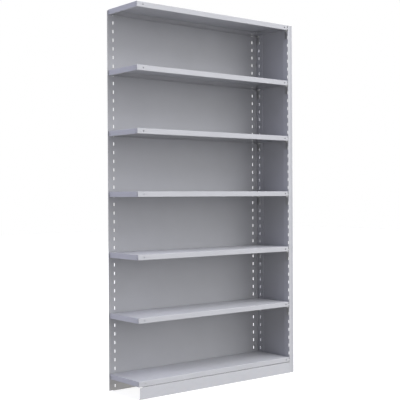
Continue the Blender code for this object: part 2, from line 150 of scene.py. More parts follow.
length = declared_as(FloatProperty, min=0.0, unit="LENGTH", precision=4)
share = declared_as(FloatProperty, min=0.0, max=1.0, subtype="FACTOR")
gain = declared_as(FloatProperty, min=0.0, soft_max=10.0, subtype="FACTOR")
rotation = declared_as(FloatProperty, unit="ROTATION")
power = declared_as(FloatProperty, unit="POWER")
focal_length = declared_as(FloatProperty, unit="CAMERA")
facets = declared_as(IntProperty, min=2, subtype="UNSIGNED")
colour = declared_as(FloatVectorProperty, min=0.0, max=1.0, subtype="COLOR")
position = declared_as(FloatVectorProperty, unit="LENGTH", subtype="TRANSLATION")
direction = declared_as(FloatVectorProperty, subtype="DIRECTION")


def group(kind, name, description):
    """A group of settings."""
    return PointerProperty(type=kind, name=name, description=description)


class SheetSettings(bpy.types.PropertyGroup):
    """Sheets and the way they are cut and bent."""

    thin: length("Thin sheet", "Thickness of shelves, panels and kick plate", 0.001)
    thick: length("Thick sheet", "Thickness of the posts", 0.0015)
    bend: length("Bend radius", "Outer radius of every bend", 0.0018)
    edge: length("Edge rounding", "Rounding of cut edges under the paint", 0.0002)
    bend_steps: facets("Bend steps", "Facets across each bend", 6)
    round_steps: facets("Round steps", "Facets around a quarter of a hole", 6)


class ShelfSettings(bpy.types.PropertyGroup):
    """Folded shelf pan."""

    hem: length("Hem", "Width of the fold under the lips", 0.010)
    slit: length("Corner slit", "Distance of the end flange from the lip's outer face", 0.0043)
    slit_top: length("Slit top", "How far below the top the corner slit ends", 0.004)
    relief: length("Corner relief", "Half the width of the saw cut between two bends", 0.0003)
    relief_reach: length("Relief reach", "How far the saw cut runs into the top", 0.0004)
    mitre: length("Mitre gap", "Clearance between two hems at a corner", 0.0015)
    lip_hole: length("Lip hole", "Diameter of the holes in the lips", 0.0083)
    lip_hole_near: length("Near lip hole", "Inset of the nearer hole from the shelf's end", 0.0230)
    lip_hole_far: length("Far lip hole", "Inset of the farther hole from the shelf's end", 0.0415)
    end_hole: length("End hole", "Diameter of the holes in the end flanges", 0.006)
    end_hole_inset: length("End hole inset", "Inset of an end hole from the lip", 0.018)
    end_hole_height: length("End hole height", "Height of an end hole", 0.011)


class PostSettings(bpy.types.PropertyGroup):
    """Slotted posts of the closed upright."""

    outer_wall: length("Outer wall", "Depth of the front post's outer wall", 0.022)
    crease_inset: length("Crease inset", "Where the crease runs along the front post's face", 0.0185)
    crease_depth: length("Crease depth", "Depth of the crease in the front post's face", 0.0027)
    slot_width: length("Slot width", "Width of a post slot", 0.0055)
    slot_height: length("Slot height", "Height of a post slot", 0.019)
    slot_corner: length("Slot corner", "Corner radius of a post slot", 0.0007)
    slot_first: length("First slot", "Height of the lowest slot's middle", 0.0245)
    slot_pitch: length("Slot pitch", "Step from slot to slot", 0.050)
    slot_margin: length("Slot margin", "Least sheet above the top slot", 0.006)
    front_inset: length("Front slot inset", "Slot's middle behind the front", 0.00475)
    rear_inset: length("Rear slot inset", "Slot's middle before the back panel", 0.0244)
    rivet_hole: length("Rivet hole", "Diameter of the rivet holes", 0.0040)


class PanelSettings(bpy.types.PropertyGroup):
    """Back and side panels."""

    slot_width: length("Slot width", "Width of a back panel slot", 0.0058)
    slot_height: length("Slot height", "Height of a back panel slot", 0.019)
    slot_corner: length("Slot corner", "Corner radius of a back panel slot", 0.0022)
    slot_first: length("First slot", "Height of the lowest slot's middle", 0.0275)
    slot_inset: length("Slot inset", "Distance of the slot columns from the bay's sides", 0.040)
    fold_stop: length("Fold stop", "How far the folds stop short of the panel's ends", 0.030)
    fold_relief: length("Fold relief", "Height cut away beyond the ends of the folds", 0.003)


class KickPlateSettings(bpy.types.PropertyGroup):
    """Kick plate under the lowest shelf."""

    fold: length("Fold", "Depth of the top and bottom folds", 0.012)
    notch: length("Fold notch", "How far the top fold stops short of the ends", 0.022)
    post_gap: length("Post gap", "Clearance to the front post", 0.0003)
    tongue_height: length("Tongue height", "Height of the tongue", 0.014)
    tongue_lap: length("Tongue lap", "Length welded behind the plate", 0.030)
    tongue_setback: length("Tongue setback", "Where the tongue steps back, before the end", 0.009)
    tongue_step: length("Tongue step", "Length of the step", 0.003)
    tongue_depth: length("Tongue depth", "Tongue's middle behind the plate's face", 0.0028)


class ClipSettings(bpy.types.PropertyGroup):
    """Hook-in shelf clips."""

    sheet: length("Sheet", "Thickness of plate, ledge and hook", 0.002)
    wall_gap: length("Wall gap", "Clearance between plate and post", 0.0003)
    ledge_drop: length("Ledge drop", "Ledge's top below the plate's top", 0.0203)
    ledge_inset: length("Ledge inset", "How much narrower the ledge is at each side", 0.001)
    ledge_root: length("Ledge root", "Radius under the ledge's root", 0.0025)
    corner: length("Plate corner", "Corner radius of the plate", 0.003)
    rib_width: length("Rib width", "Width of the pressed rib under the ledge", 0.004)
    rib_height: length("Rib height", "Height of the pressed rib under the ledge", 0.008)
    hook_inset: length("Hook inset", "Hook's front behind the plate's front edge", 0.0003)
    hook_width: length("Hook width", "Width of the hook", 0.0031)
    hook_top: length("Hook top", "Hook's top below the plate's top", 0.012)
    neck: length("Hook neck", "Height of the hook's neck", 0.0127)
    hook_drop: length("Hook drop", "How far the hook reaches down behind the wall", 0.005)
    edge: length("Edge rounding", "Rounding of the stamped edges", 0.0003)


class RivetSettings(bpy.types.PropertyGroup):
    """Blind rivets."""

    head: length("Head", "Diameter of the head", 0.0066)
    rise: length("Head height", "Height of the head", 0.0012)
    shank: length("Shank", "Diameter of the shank", 0.0034)
    pit: length("Pit", "Diameter of the mandrel's pit", 0.0018)
    pit_depth: length("Pit depth", "Depth of the mandrel's pit", 0.0005)
    rim: length("Rim", "Height of the head's straight rim", 0.0002)
    steps: facets("Steps", "Facets around a rivet", 32)


class FinishSettings(bpy.types.PropertyGroup):
    """Powder coat and zinc."""

    paint: colour("Paint", "Powder coat", (0.436, 0.440, 0.464))
    paint_thin: colour("Thin paint", "Powder coat where it thins on edges", (0.560, 0.562, 0.575))
    paint_rough: share("Paint roughness", "Roughness of the powder coat", 0.46)
    paint_gloss: share("Paint gloss", "Specular level of the powder coat", 0.35)
    # Painted shade: the panels' coat is set darker than the shelves' coat to stand in for the shade
    # inside the bay.
    panel_painted_shade: share("Panel tone", "Tone of the panels' coat beside the shelves' coat", 0.91)
    # Painted light: the kick plate's coat is set lighter than the shelves' coat to stand in for light
    # from below.
    kick_painted_light: gain("Kick plate tone", "Tone of the kick plate's coat beside the shelves' coat", 1.05)
    cloud: share("Cloud", "How much the paint's tone drifts over a sheet", 0.05)
    edge_wear: share("Edge wear", "How much the paint thins on edges", 0.45)
    edge_reach: length("Edge reach", "How far an edge shows in the paint", 0.0008)
    peel: length("Orange peel", "Width of a bump of the paint's skin", 0.0022)
    peel_depth: length("Peel depth", "Height of the paint's skin bumps", 0.00003)
    zinc: colour("Zinc", "Bright zinc plate", (0.560, 0.560, 0.550))
    zinc_dull: colour("Dull zinc", "Zinc where it has dulled", (0.430, 0.435, 0.440))
    zinc_rough: share("Zinc roughness", "Roughness of the zinc plate", 0.34)


class StageSettings(bpy.types.PropertyGroup):
    """Camera, lamps and floor."""

    eye: position("Camera", "Place of the camera", (-3.3211, -4.0931, 1.1230))
    yaw: rotation("Yaw", "Turn of the camera to the right", 0.67623)
    pitch: rotation("Pitch", "Tilt of the camera upwards", -0.00451)
    roll: rotation("Roll", "Roll of the camera", -0.00571)
    lens: focal_length("Lens", "Focal length on a 36 mm sensor", 78.207)
    dome: gain("Dome", "Light of the studio dome at its brightest", 2.34)
    dome_aim: direction("Dome aim", "Where the dome is brightest", (0.7, -0.7, 0.0))
    front_lamp: power("Front lamp", "Power of the lamp above the front", 1300.0)
    front_place: position("Front lamp's place", "Place of the front lamp", (2.909, -6.238, 10.930))
    left_lamp: power("Left lamp", "Power of the cool lamp at the left", 850.0)
    left_place: position("Left lamp's place", "Place of the left lamp", (-10.834, 0.948, 6.171))
    back_lamp: power("Back lamp", "Power of the lamp behind the bay", 900.0)
    back_place: position("Back lamp's place", "Place of the back lamp", (3.0, 10.0, 7.0))
    front_tint: colour("Front lamp's colour", "Light of the front lamp", (0.95, 0.96, 1.0))
    left_tint: colour("Left lamp's colour", "Cool light of the left lamp", (0.75, 0.76, 1.0))
    lamp_size: length("Lamp size", "Width of each soft lamp", 10.0)
    floor: colour("Floor", "Pale floor", (0.30, 0.30, 0.30))
    floor_glow: share("Floor glow", "White that the camera sees on the floor", 0.84)
    floor_light: share("Floor light", "Light that the floor sends up to the object", 0.17)
    floor_tint: colour("Floor light's colour", "Warm light from the floor", (1.0, 0.96, 0.87))
    floor_size: length("Floor size", "Width of the floor", 40.0)
    floor_gap: length("Floor gap", "How far the floor lies below the feet", 0.0005)
    card_light: share("Card light", "Light that the card under the open end sends up", 1.0)
    card_length: length("Card length", "How far the card reaches in from the open end", 0.45)
    card_margin: length("Card margin", "Distance of the card from the front and the back", 0.01)


class BaySettings(bpy.types.PropertyGroup):
    """All settings of the bay."""

    sheet: group(SheetSettings, "Sheets", "Sheets and bends")
    shelf: group(ShelfSettings, "Shelves", "Shelf pans")
    post: group(PostSettings, "Posts", "Slotted posts")
    panel: group(PanelSettings, "Panels", "Back and side panels")
    kick: group(KickPlateSettings, "Kick plate", "Kick plate")
    clip: group(ClipSettings, "Clips", "Shelf clips")
    rivet: group(RivetSettings, "Rivets", "Blind rivets")
    finish: group(FinishSettings, "Finish", "Paint and zinc")
    stage: group(StageSettings, "Stage", "Camera and light")


def settings():
    """The bay's settings in this scene."""
    return bpy.context.scene.shelving_bay


class FoldLine:
    """Middle line of a folded sheet: it turns lengths along the flat blank into folded places."""

    def __init__(self, corners, radius):
        points = [Vector(corner) for corner in corners]
        headings = [(after - before).normalized() for before, after in zip(points, points[1:])]
        turns = [0.0]
        for before, after in zip(headings, headings[1:]):
            cross = before.x * after.y - before.y * after.x
            turns.append(math.atan2(cross, before.dot(after)))
        turns.append(0.0)
        self.radius = radius
        self.flats = []
        self.bends = []
        self.length = 0.0
        for index, heading in enumerate(headings):
            lead = radius * math.tan(abs(turns[index]) / 2)
            trail = radius * math.tan(abs(turns[index + 1]) / 2)
            start = points[index] + heading * lead
            run = (points[index + 1] - points[index]).length - lead - trail
            self.flats.append((self.length, self.length + run, start, heading))
            self.length += run
            if turns[index + 1]:
                bend = radius * abs(turns[index + 1])
                place = start + heading * run
                self.bends.append((self.length, self.length + bend, place, heading, turns[index + 1]))
                self.length += bend

    def length_at(self, flat, point):
        """Length along the blank of a folded point that lies on this flat."""
        low, _, start, heading = self.flats[flat]
        return low + (Vector(point) - start).dot(heading)

    def stations(self, steps):
        """Lengths at which the blank needs points so that its bends come out round."""
        found = []
        for low, high, *_ in self.bends:
            found += [low + (high - low) * step / steps for step in range(steps + 1)]
        return found

    def place(self, along, offset):
        """Folded place of a point of the blank, offset to the left of the line."""
        for low, high, start, heading, turn in self.bends:
            if low < along < high:
                side = math.copysign(1.0, turn)
                angle = (along - low) / self.radius * side
                left = Vector((-heading.y, heading.x)) * side
                centre = start + left * self.radius
                spun = Matrix.Rotation(angle, 2) @ -left
                return centre + spun * (self.radius - offset * side)
        for low, high, start, heading in self.flats:
            if along <= high + MERGE:
                break
        normal = Vector((-heading.y, heading.x))
        return start + heading * (along - low) + normal * offset


def inner_line(corners, distance):
    """Move a bent line to its right by a distance, with its corners kept sharp."""
    points = [Vector(corner) for corner in corners]
    headings = [(after - before).normalized() for before, after in zip(points, points[1:])]
    rights = [Vector((heading.y, -heading.x)) for heading in headings]
    moved = [points[0] + rights[0] * distance]
    for point, before, after in zip(points[1:], rights, rights[1:]):
        middle = (before + after).normalized()
        moved.append(point + middle * (distance / middle.dot(after)))
    moved.append(points[-1] + rights[-1] * distance)
    return moved


def sheet_fold(corners, sheet):
    """Fold line of a sheet whose outer face runs along these corners."""
    return FoldLine(inner_line(corners, sheet / 2), settings().sheet.bend - sheet / 2)


def rectangle(low, high):
    """Corners of a rectangle, from its low and its high corner."""
    return [(low[0], low[1]), (high[0], low[1]), (high[0], high[1]), (low[0], high[1])]


def rounded_loop(corners, radii, steps):
    """Points of a closed outline whose corners are rounded."""
    points = [Vector(corner) for corner in corners]
    loop = []
    for index, corner in enumerate(points):
        radius = radii[index]
        if not radius:
            loop.append(corner)
            continue
        back = (points[index - 1] - corner).normalized()
        ahead = (points[(index + 1) % len(points)] - corner).normalized()
        half = back.angle(ahead) / 2
        middle = corner + (back + ahead).normalized() * (radius / math.sin(half))
        start = (corner + back * (radius / math.tan(half)) - middle).normalized()
        end = (corner + ahead * (radius / math.tan(half)) - middle).normalized()
        for step in range(steps + 1):
            loop.append(middle + start.slerp(end, step / steps).normalized() * radius)
    return loop


def slot_loop(centre, width, height, radius, steps):
    """Outline of a slot, its width along the first axis."""
    x, y = centre
    corners = rectangle((x - width / 2, y - height / 2), (x + width / 2, y + height / 2))
    return rounded_loop(corners, [radius] * len(corners), steps)


def hole_loop(centre, diameter, steps):
    """Outline of a round hole."""
    count = 4 * steps
    return [
        Vector(centre) + Matrix.Rotation(math.tau * step / count, 2) @ Vector((diameter / 2, 0.0))
        for step in range(count)
    ]


def cut_blank(outline, holes, sheet, edge):
    """Cut a flat sheet with holes and rounded edges; its thickness lies along Z."""
    curve = bpy.data.curves.new("blank", "CURVE")
    curve.dimensions = "2D"
    curve.fill_mode = "BOTH"
    curve.extrude = (sheet / 2 - edge) * MILLIMETRES
    curve.bevel_depth = edge * MILLIMETRES
    curve.bevel_resolution = EDGE_STEPS
    curve.offset = -edge * MILLIMETRES
    for loop in (outline, *holes):
        spline = curve.splines.new("POLY")
        spline.points.add(len(loop) - 1)
        spline.use_cyclic_u = True
        for point, place in zip(spline.points, loop):
            point.co = (place[0] * MILLIMETRES, place[1] * MILLIMETRES, 0.0, 1.0)
    holder = bpy.data.objects.new("blank", curve)
    bpy.context.scene.collection.objects.link(holder)
    graph = bpy.context.evaluated_depsgraph_get()
    flat = bpy.data.meshes.new_from_object(holder.evaluated_get(graph))
    bpy.data.objects.remove(holder)
    bpy.data.curves.remove(curve)
    bm = bmesh.new()
    bm.from_mesh(flat)
    bpy.data.meshes.remove(flat)
    bmesh.ops.scale(bm, vec=Vector((1.0, 1.0, 1.0)) / MILLIMETRES, verts=bm.verts)
    bmesh.ops.remove_doubles(bm, verts=bm.verts, dist=MERGE)
    return bm


def score(bm, lengths, axis):
    """Give the blank a row of points at each of these lengths along an axis."""
    normal = Vector((0.0, 0.0, 0.0))
    normal[axis] = 1.0
    for station in lengths:
        bmesh.ops.bisect_plane(
            bm, geom=[*bm.verts, *bm.edges, *bm.faces], dist=MERGE, plane_co=normal * station,
            plane_no=normal)


def finished_mesh(bm, name):
    """Close a shape into mesh data with its faces outwards and its bends smooth."""
    bmesh.ops.remove_doubles(bm, verts=bm.verts, dist=MERGE)
    bmesh.ops.recalc_face_normals(bm, faces=bm.faces)
    if bm.calc_volume(signed=True) < 0.0:
        bmesh.ops.reverse_faces(bm, faces=bm.faces)
    mesh = bpy.data.meshes.new(name)
    bm.to_mesh(mesh)
    bm.free()
    mesh.shade_smooth()
    mesh.set_sharp_from_angle(angle=SMOOTH_ANGLE)
    return mesh


def folded_sheet(name, fold, outline, holes, thickness, standing):
    """Cut a blank and fold it; the bends of a standing sheet run along Z, others along X."""
    sheet = settings().sheet
    bm = cut_blank(outline, holes, thickness, sheet.edge)
    score(bm, fold.stations(sheet.bend_steps), 0)
    for vert in bm.verts:
        along = vert.co.y
        first, second = fold.place(vert.co.x, vert.co.z)
        vert.co = (first, second, along) if standing else (along, first, second)
    return finished_mesh(bm, name)


def add_piece(name, mesh, material, body, nodes, place=None):
    """Put a finished mesh in the scene for these nodes, on its body and with its finish."""
    piece = bpy.data.objects.new(name, mesh)
    bpy.context.scene.collection.objects.link(piece)
    if place is not None:
        piece.matrix_world = place
    if not mesh.materials:
        mesh.materials.append(material)
    even = piece.modifiers.new("Even shading", "WEIGHTED_NORMAL")
    even.keep_sharp = True
    even.weight = NORMAL_WEIGHT
    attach(piece, body)
    if nodes:
        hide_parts(*nodes)


def add_node(tree, kind, sources=None, operation=None, **values):
    """Add a shader node, set some of its inputs and link sources to others."""
    node = tree.nodes.new(kind)
    if operation:
        node.operation = operation
    for name, value in values.items():
        node.inputs[name.replace("_", " ")].default_value = value
    for name, source in (sources or {}).items():
        tree.links.new(source, node.inputs[name])
    return node


def noise(tree, coordinates, shift, size, detail, rough=0.5):
    """A noise whose spots are about this size, in metres, shifted for each object."""
    node = add_node(tree, "ShaderNodeTexNoise", Scale=1.0 / size, Detail=detail, Roughness=rough)
    node.noise_dimensions = "4D"
    tree.links.new(coordinates, node.inputs["Vector"])
    tree.links.new(shift, node.inputs["W"])
    return node.outputs["Fac"]


def spread(tree, value, low, high):
    """Stretch a noise to a range."""
    node = add_node(
        tree, "ShaderNodeMapRange", {"Value": value}, From_Min=NOISE_LOW, From_Max=NOISE_HIGH,
        To_Min=low, To_Max=high)
    return node.outputs["Result"]


def mixed(tree, factor, first, second):
    """Mix two colours, given as values or as sockets."""
    node = tree.nodes.new("ShaderNodeMix")
    node.data_type = "RGBA"
    tree.links.new(factor, node.inputs["Factor"])
    for socket, value in ((node.inputs[MIX_FIRST], first), (node.inputs[MIX_SECOND], second)):
        if isinstance(value, bpy.types.NodeSocket):
            tree.links.new(value, socket)
        else:
            socket.default_value = (*value, 1.0)
    return node.outputs[MIX_RESULT]


def edge_mask(tree, reach, strength):
    """How near a cut edge or a bend lies, from the way rounded normals lean."""
    rounded = add_node(tree, "ShaderNodeBevel", Radius=reach)
    rounded.samples = EDGE_SAMPLES
    plain = tree.nodes.new("ShaderNodeNewGeometry")
    normals = {0: rounded.outputs["Normal"], 1: plain.outputs["Normal"]}
    lean = add_node(tree, "ShaderNodeVectorMath", normals, "DOT_PRODUCT")
    node = add_node(
        tree, "ShaderNodeMapRange", {"Value": lean.outputs["Value"]}, From_Min=OFF_EDGE,
        From_Max=ON_EDGE, To_Min=0.0, To_Max=strength)
    return node.outputs["Result"]


def bumped(tree, height, depth, under=None):
    """A bump of this depth from a height, over another bump if there is one."""
    sources = {"Height": height}
    if under is not None:
        sources["Normal"] = under
    node = add_node(tree, "ShaderNodeBump", sources, Strength=1.0, Distance=depth)
    return node.outputs["Normal"]


def new_material(name):
    """A material with its shader, object coordinates and a number of its own for each object."""
    material = bpy.data.materials.new(name)
    material.use_nodes = True
    tree = material.node_tree
    shader = tree.nodes["Principled BSDF"]
    coordinates = tree.nodes.new("ShaderNodeTexCoord").outputs["Object"]
    shift = tree.nodes.new("ShaderNodeObjectInfo").outputs["Random"]
    return material, tree, shader, coordinates, shift


def powder_coat(name, tone=1.0):
    """Satin powder coat: drifting tone, orange-peel skin and thinner paint on edges; a tone other than
    one paints shade or light into the whole coat.
    """
    finish = settings().finish
    material, tree, shader, coordinates, shift = new_material(name)
    shader.inputs["Specular IOR Level"].default_value = finish.paint_gloss
    drift = noise(tree, coordinates, shift, *DRIFT)
    # A tone below one is painted shade, a tone above one painted light.
    paint = Vector(finish.paint) * tone
    toned = mixed(
        tree, spread(tree, drift, 0.0, 1.0), paint * (1 - finish.cloud / 2),
        paint * (1 + finish.cloud / 2))
    edges = edge_mask(tree, finish.edge_reach, finish.edge_wear)
    tree.links.new(mixed(tree, edges, toned, finish.paint_thin), shader.inputs["Base Color"])
    handled = noise(tree, coordinates, shift, *HANDLED)
    rough = finish.paint_rough
    drifting = spread(tree, handled, rough - ROUGH_SPREAD, rough + ROUGH_SPREAD)
    tree.links.new(drifting, shader.inputs["Roughness"])
    skin = noise(tree, coordinates, shift, finish.peel, PEEL_DETAIL)
    grain = noise(tree, coordinates, shift, finish.peel * GRAIN_SHARE, GRAIN_DETAIL)
    peel = bumped(tree, skin, finish.peel_depth)
    surface = bumped(tree, grain, finish.peel_depth * GRAIN_SHARE, peel)
    tree.links.new(surface, shader.inputs["Normal"])
    return material


def zinc_plate(name):
    """Bright zinc plate with dull patches and fine drawing marks."""
    finish = settings().finish
    material, tree, shader, coordinates, shift = new_material(name)
    shader.inputs["Metallic"].default_value = 1.0
    patches = noise(tree, coordinates, shift, *PATCHES)
    tree.links.new(
        mixed(tree, spread(tree, patches, 0.0, 1.0), finish.zinc, finish.zinc_dull),
        shader.inputs["Base Color"])
    tree.links.new(
        spread(tree, patches, finish.zinc_rough - ZINC_SHINE, finish.zinc_rough + ZINC_DULLING),
        shader.inputs["Roughness"])
    drawn = add_node(
        tree, "ShaderNodeMapping", {"Vector": coordinates}, Scale=(1.0, 1.0, MARK_STRETCH))
    marks = noise(tree, drawn.outputs["Vector"], shift, *MARKS)
    tree.links.new(bumped(tree, marks, MARK_DEPTH), shader.inputs["Normal"])
    return material


def slot_heights(first, height, top):
    """Heights of the slots' middles, from the lowest up to the last that fits."""
    post = settings().post
    count = int((top - post.slot_margin - height / 2 - first) / post.slot_pitch + MERGE) + 1
    return [first + post.slot_pitch * row for row in range(count)]


def rivet_centres(column):
    """Middles of the rivets of one column."""
    found = []
    for node in sorted(frame["nodes"]):
        if node.startswith("rivet_%s_" % column):
            low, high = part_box(node)
            found.append((low + high) / 2)
    return found


def rivet_hole(centre):
    """Outline of a rivet's hole."""
    return hole_loop(centre, settings().post.rivet_hole, settings().sheet.round_steps)


def pan_lines(size, sheet, hem):
    """Fold lines of a pan across its length and across its depth."""
    lines = []
    for half in (size.x / 2, size.y / 2):
        corners = [
            (hem - half, 0.0), (-half, 0.0), (-half, size.z), (half, size.z), (half, 0.0),
            (half - hem, 0.0),
        ]
        lines.append(sheet_fold(corners, sheet))
    return lines


def pan_outline(size, lengthwise, depthwise, shelf):
    """Outline of a pan's blank: top, lips, end flanges and mitred hems."""
    half_x = size.x / 2
    half_y = size.y / 2
    long_half = lengthwise.length / 2
    deep_half = depthwise.length / 2
    top_x = lengthwise.flats[PAN_TOP][1] - long_half
    top_y = depthwise.flats[PAN_TOP][1] - deep_half
    slit_x = lengthwise.length_at(PAN_LIP, (half_x, size.z - shelf.slit_top)) - long_half
    hem_x = lengthwise.flats[PAN_HEM][0] - long_half
    hem_y = depthwise.flats[PAN_HEM][0] - deep_half
    flange_y = half_y - shelf.slit
    hem_end = shelf.hem + shelf.mitre
    quarter = [
        (long_half, half_y - hem_end),
        (hem_x, flange_y),
        (slit_x, flange_y),
        (slit_x, top_y - shelf.relief),
        (top_x - shelf.relief_reach, top_y - shelf.relief),
        (top_x - shelf.relief_reach, top_y + shelf.relief),
        (half_x, top_y + shelf.relief),
        (half_x, hem_y),
        (half_x - hem_end, deep_half),
    ]
    outline = list(quarter)
    outline += [(-x, y) for x, y in reversed(quarter)]
    outline += [(-x, -y) for x, y in quarter]
    outline += [(x, -y) for x, y in reversed(quarter)]
    return outline


def pan_holes(size, lengthwise, depthwise, shelf, steps):
    """Holes of a pan's blank: two in each lip and two in each end flange."""
    holes = []
    lip_y = depthwise.length_at(PAN_LIP, (size.y / 2, size.z / 2)) - depthwise.length / 2
    end_spot = (size.x / 2, shelf.end_hole_height)
    end_x = lengthwise.length_at(PAN_LIP, end_spot) - lengthwise.length / 2
    end_y = size.y / 2 - shelf.end_hole_inset
    for side_x in (-1, 1):
        for side_y in (-1, 1):
            inset = shelf.lip_hole_far if side_x == side_y else shelf.lip_hole_near
            lip_spot = (side_x * (size.x / 2 - inset), side_y * lip_y)
            holes.append(hole_loop(lip_spot, shelf.lip_hole, steps))
            holes.append(hole_loop((side_x * end_x, side_y * end_y), shelf.end_hole, steps))
    return holes


def folded_pan(size):
    """A shelf pan about the middle of its underside."""
    sheet = settings().sheet
    shelf = settings().shelf
    lengthwise, depthwise = pan_lines(size, sheet.thin, shelf.hem)
    outline = pan_outline(size, lengthwise, depthwise, shelf)
    holes = pan_holes(size, lengthwise, depthwise, shelf, sheet.round_steps)
    bm = cut_blank(outline, holes, sheet.thin, sheet.edge)
    long_half = lengthwise.length / 2
    deep_half = depthwise.length / 2
    score(bm, [at - long_half for at in lengthwise.stations(sheet.bend_steps)], 0)
    score(bm, [at - deep_half for at in depthwise.stations(sheet.bend_steps)], 1)
    top_y = depthwise.flats[PAN_TOP][1] - deep_half
    for vert in bm.verts:
        x, y, offset = vert.co
        if abs(y) > top_y:
            y, z = depthwise.place(y + deep_half, offset)
        else:
            x, z = lengthwise.place(x + long_half, offset)
        vert.co = (x, y, z)
    return finished_mesh(bm, "shelf_pan")


class SHELVING_OT_fold_shelves(bpy.types.Operator):
    """Fold the shelf pans, each with its lips, end flanges, hems and holes"""

    bl_idname = "shelving.fold_shelves"
    bl_label = "Fold Shelves"

    def execute(self, context):
        paint = powder_coat("shelf_powder_coat")
        low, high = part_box("shelf_1")
        pan = folded_pan(high - low)
        for node, body in sorted(SHELF_BODIES.items()):
            low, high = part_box(node)
            place = Matrix.Translation(((low.x + high.x) / 2, (low.y + high.y) / 2, low.z))
            add_piece(node + "_pan", pan, paint, body, [node], place)
        return {"FINISHED"}


def post_holes(fold, wall, x, slot_y, top, column):
    """Slots and side rivet holes in the wall of a post, laid out on its blank."""
    post = settings().post
    slot_at = fold.length_at(wall, (x, slot_y))
    holes = [
        slot_loop((slot_at, z), post.slot_width, post.slot_height, post.slot_corner, SLOT_CORNER_STEPS)
        for z in slot_heights(post.slot_first, post.slot_height, top)
    ]
    for spot in rivet_centres(column):
        holes.append(rivet_hole((fold.length_at(wall, (x, spot.y)), spot.z)))
    return holes


def folded_front_post():
    """Rolled front post with its slotted inner wall."""
    thick = settings().sheet.thick
    post = settings().post
    corners = [
        (POST_HIGH.x, FRONT + post.outer_wall), (POST_HIGH.x, FRONT),
        (BAY_RIGHT + post.crease_inset, FRONT + post.crease_depth), (BAY_RIGHT, FRONT),
        (BAY_RIGHT, POST_HIGH.y),
    ]
    fold = sheet_fold(corners, thick)
    last_wall = len(fold.flats) - 1
    slot_y = FRONT + post.front_inset
    holes = post_holes(fold, last_wall, BAY_RIGHT, slot_y, POST_HIGH.z, "side_front")
    outline = rectangle((0.0, POST_LOW.z), (fold.length, POST_HIGH.z))
    return folded_sheet("front_post_rolled", fold, outline, holes, thick, True)


def folded_rear_post():
    """Slotted angle at the rear, its flange turned outwards before the back panel."""
    thick = settings().sheet.thick
    low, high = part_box("rear_post")
    fold = sheet_fold([(low.x, low.y), (low.x, high.y), (high.x, high.y)], thick)
    slot_y = PANEL_FRONT - settings().post.rear_inset
    holes = post_holes(fold, POST_WALL, low.x, slot_y, high.z, "side_rear")
    for spot in rivet_centres("back"):
        holes.append(rivet_hole((fold.length_at(POST_FLANGE, (spot.x, high.y)), spot.z)))
    outline = rectangle((0.0, low.z), (fold.length, high.z))
    return folded_sheet("rear_post_angle", fold, outline, holes, thick, True)


class SHELVING_OT_roll_posts(bpy.types.Operator):
    """Roll the front post and fold the rear post, with their slots"""

    bl_idname = "shelving.roll_posts"
    bl_label = "Roll Posts"

    def execute(self, context):
        paint = powder_coat("post_powder_coat")
        for node, mesh in (("front_post", folded_front_post()), ("rear_post", folded_rear_post())):
            add_piece(mesh.name, mesh, paint, FRAME_BODY, [node])
        return {"FINISHED"}


def folded_back_panel():
    """Back sheet with a slot column near each side, folded back along its top and bottom."""
    sheet = settings().sheet
    panel = settings().panel
    low, high = PANEL_LOW, PANEL_HIGH
    corners = [(high.y, low.z), (low.y, low.z), (low.y, high.z), (high.y, high.z)]
    fold = sheet_fold(corners, sheet.thin)
    foot = fold.length_at(FACE, (low.y, low.z + panel.fold_relief))
    head = fold.length_at(FACE, (low.y, high.z - panel.fold_relief))
    left = low.x + panel.fold_stop
    right = high.x - panel.fold_stop
    outline = [
        (0.0, left), (foot, left), (foot, low.x), (head, low.x), (head, left), (fold.length, left),
        (fold.length, right), (head, right), (head, high.x), (foot, high.x), (foot, right),
        (0.0, right),
    ]
    holes = []
    for z in slot_heights(panel.slot_first, panel.slot_height, high.z):
        for x in (BAY_LEFT + panel.slot_inset, BAY_RIGHT - panel.slot_inset):
            spot = (fold.length_at(FACE, (low.y, z)), x)
            holes.append(slot_loop(
                spot, panel.slot_height, panel.slot_width, panel.slot_corner, sheet.round_steps))
    for spot in rivet_centres("back"):
        holes.append(rivet_hole((fold.length_at(FACE, (low.y, spot.z)), spot.x)))
    return folded_sheet("back_panel_sheet", fold, outline, holes, sheet.thin, False)


def cut_side_panel():
    """Flat side sheet with its rivet holes."""
    sheet = settings().sheet
    low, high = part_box("side_panel")
    middle = (low.x + high.x) / 2
    outline = rectangle((low.y, low.z), (high.y, high.z))
    spots = rivet_centres("side_front") + rivet_centres("side_rear")
    holes = [rivet_hole((spot.y, spot.z)) for spot in spots]
    bm = cut_blank(outline, holes, sheet.thin, sheet.edge)
    for vert in bm.verts:
        vert.co = (middle + vert.co.z, vert.co.x, vert.co.y)
    return finished_mesh(bm, "side_panel_sheet")


class SHELVING_OT_cut_panels(bpy.types.Operator):
    """Cut and fold the back panel and the side panel"""

    bl_idname = "shelving.cut_panels"
    bl_label = "Cut Panels"

    def execute(self, context):
        # The panels' coat is darker than the shelves' coat: painted shade for the shade inside the
        # bay.
        paint = powder_coat("panel_powder_coat", settings().finish.panel_painted_shade)
        for node, mesh in (("back_panel", folded_back_panel()), ("side_panel", cut_side_panel())):
            add_piece(mesh.name, mesh, paint, FRAME_BODY, [node])
        return {"FINISHED"}


def folded_kick_plate():
    """Kick plate, folded back along its top and bottom, its top fold notched at both ends."""
    sheet = settings().sheet
    kick = settings().kick
    low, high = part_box("kick_plate")
    right = BAY_RIGHT - kick.post_gap
    corners = [
        (low.y + kick.fold, low.z), (low.y, low.z), (low.y, high.z), (low.y + kick.fold, high.z),
    ]
    fold = sheet_fold(corners, sheet.thin)
    brow = fold.flats[FACE][1]
    outline = [
        (0.0, low.x), (brow, low.x), (brow, low.x + kick.notch),
        (fold.length, low.x + kick.notch), (fold.length, right - kick.notch),
        (brow, right - kick.notch), (brow, right), (0.0, right),
    ]
    return folded_sheet("kick_plate_sheet", fold, outline, [], sheet.thin, False)


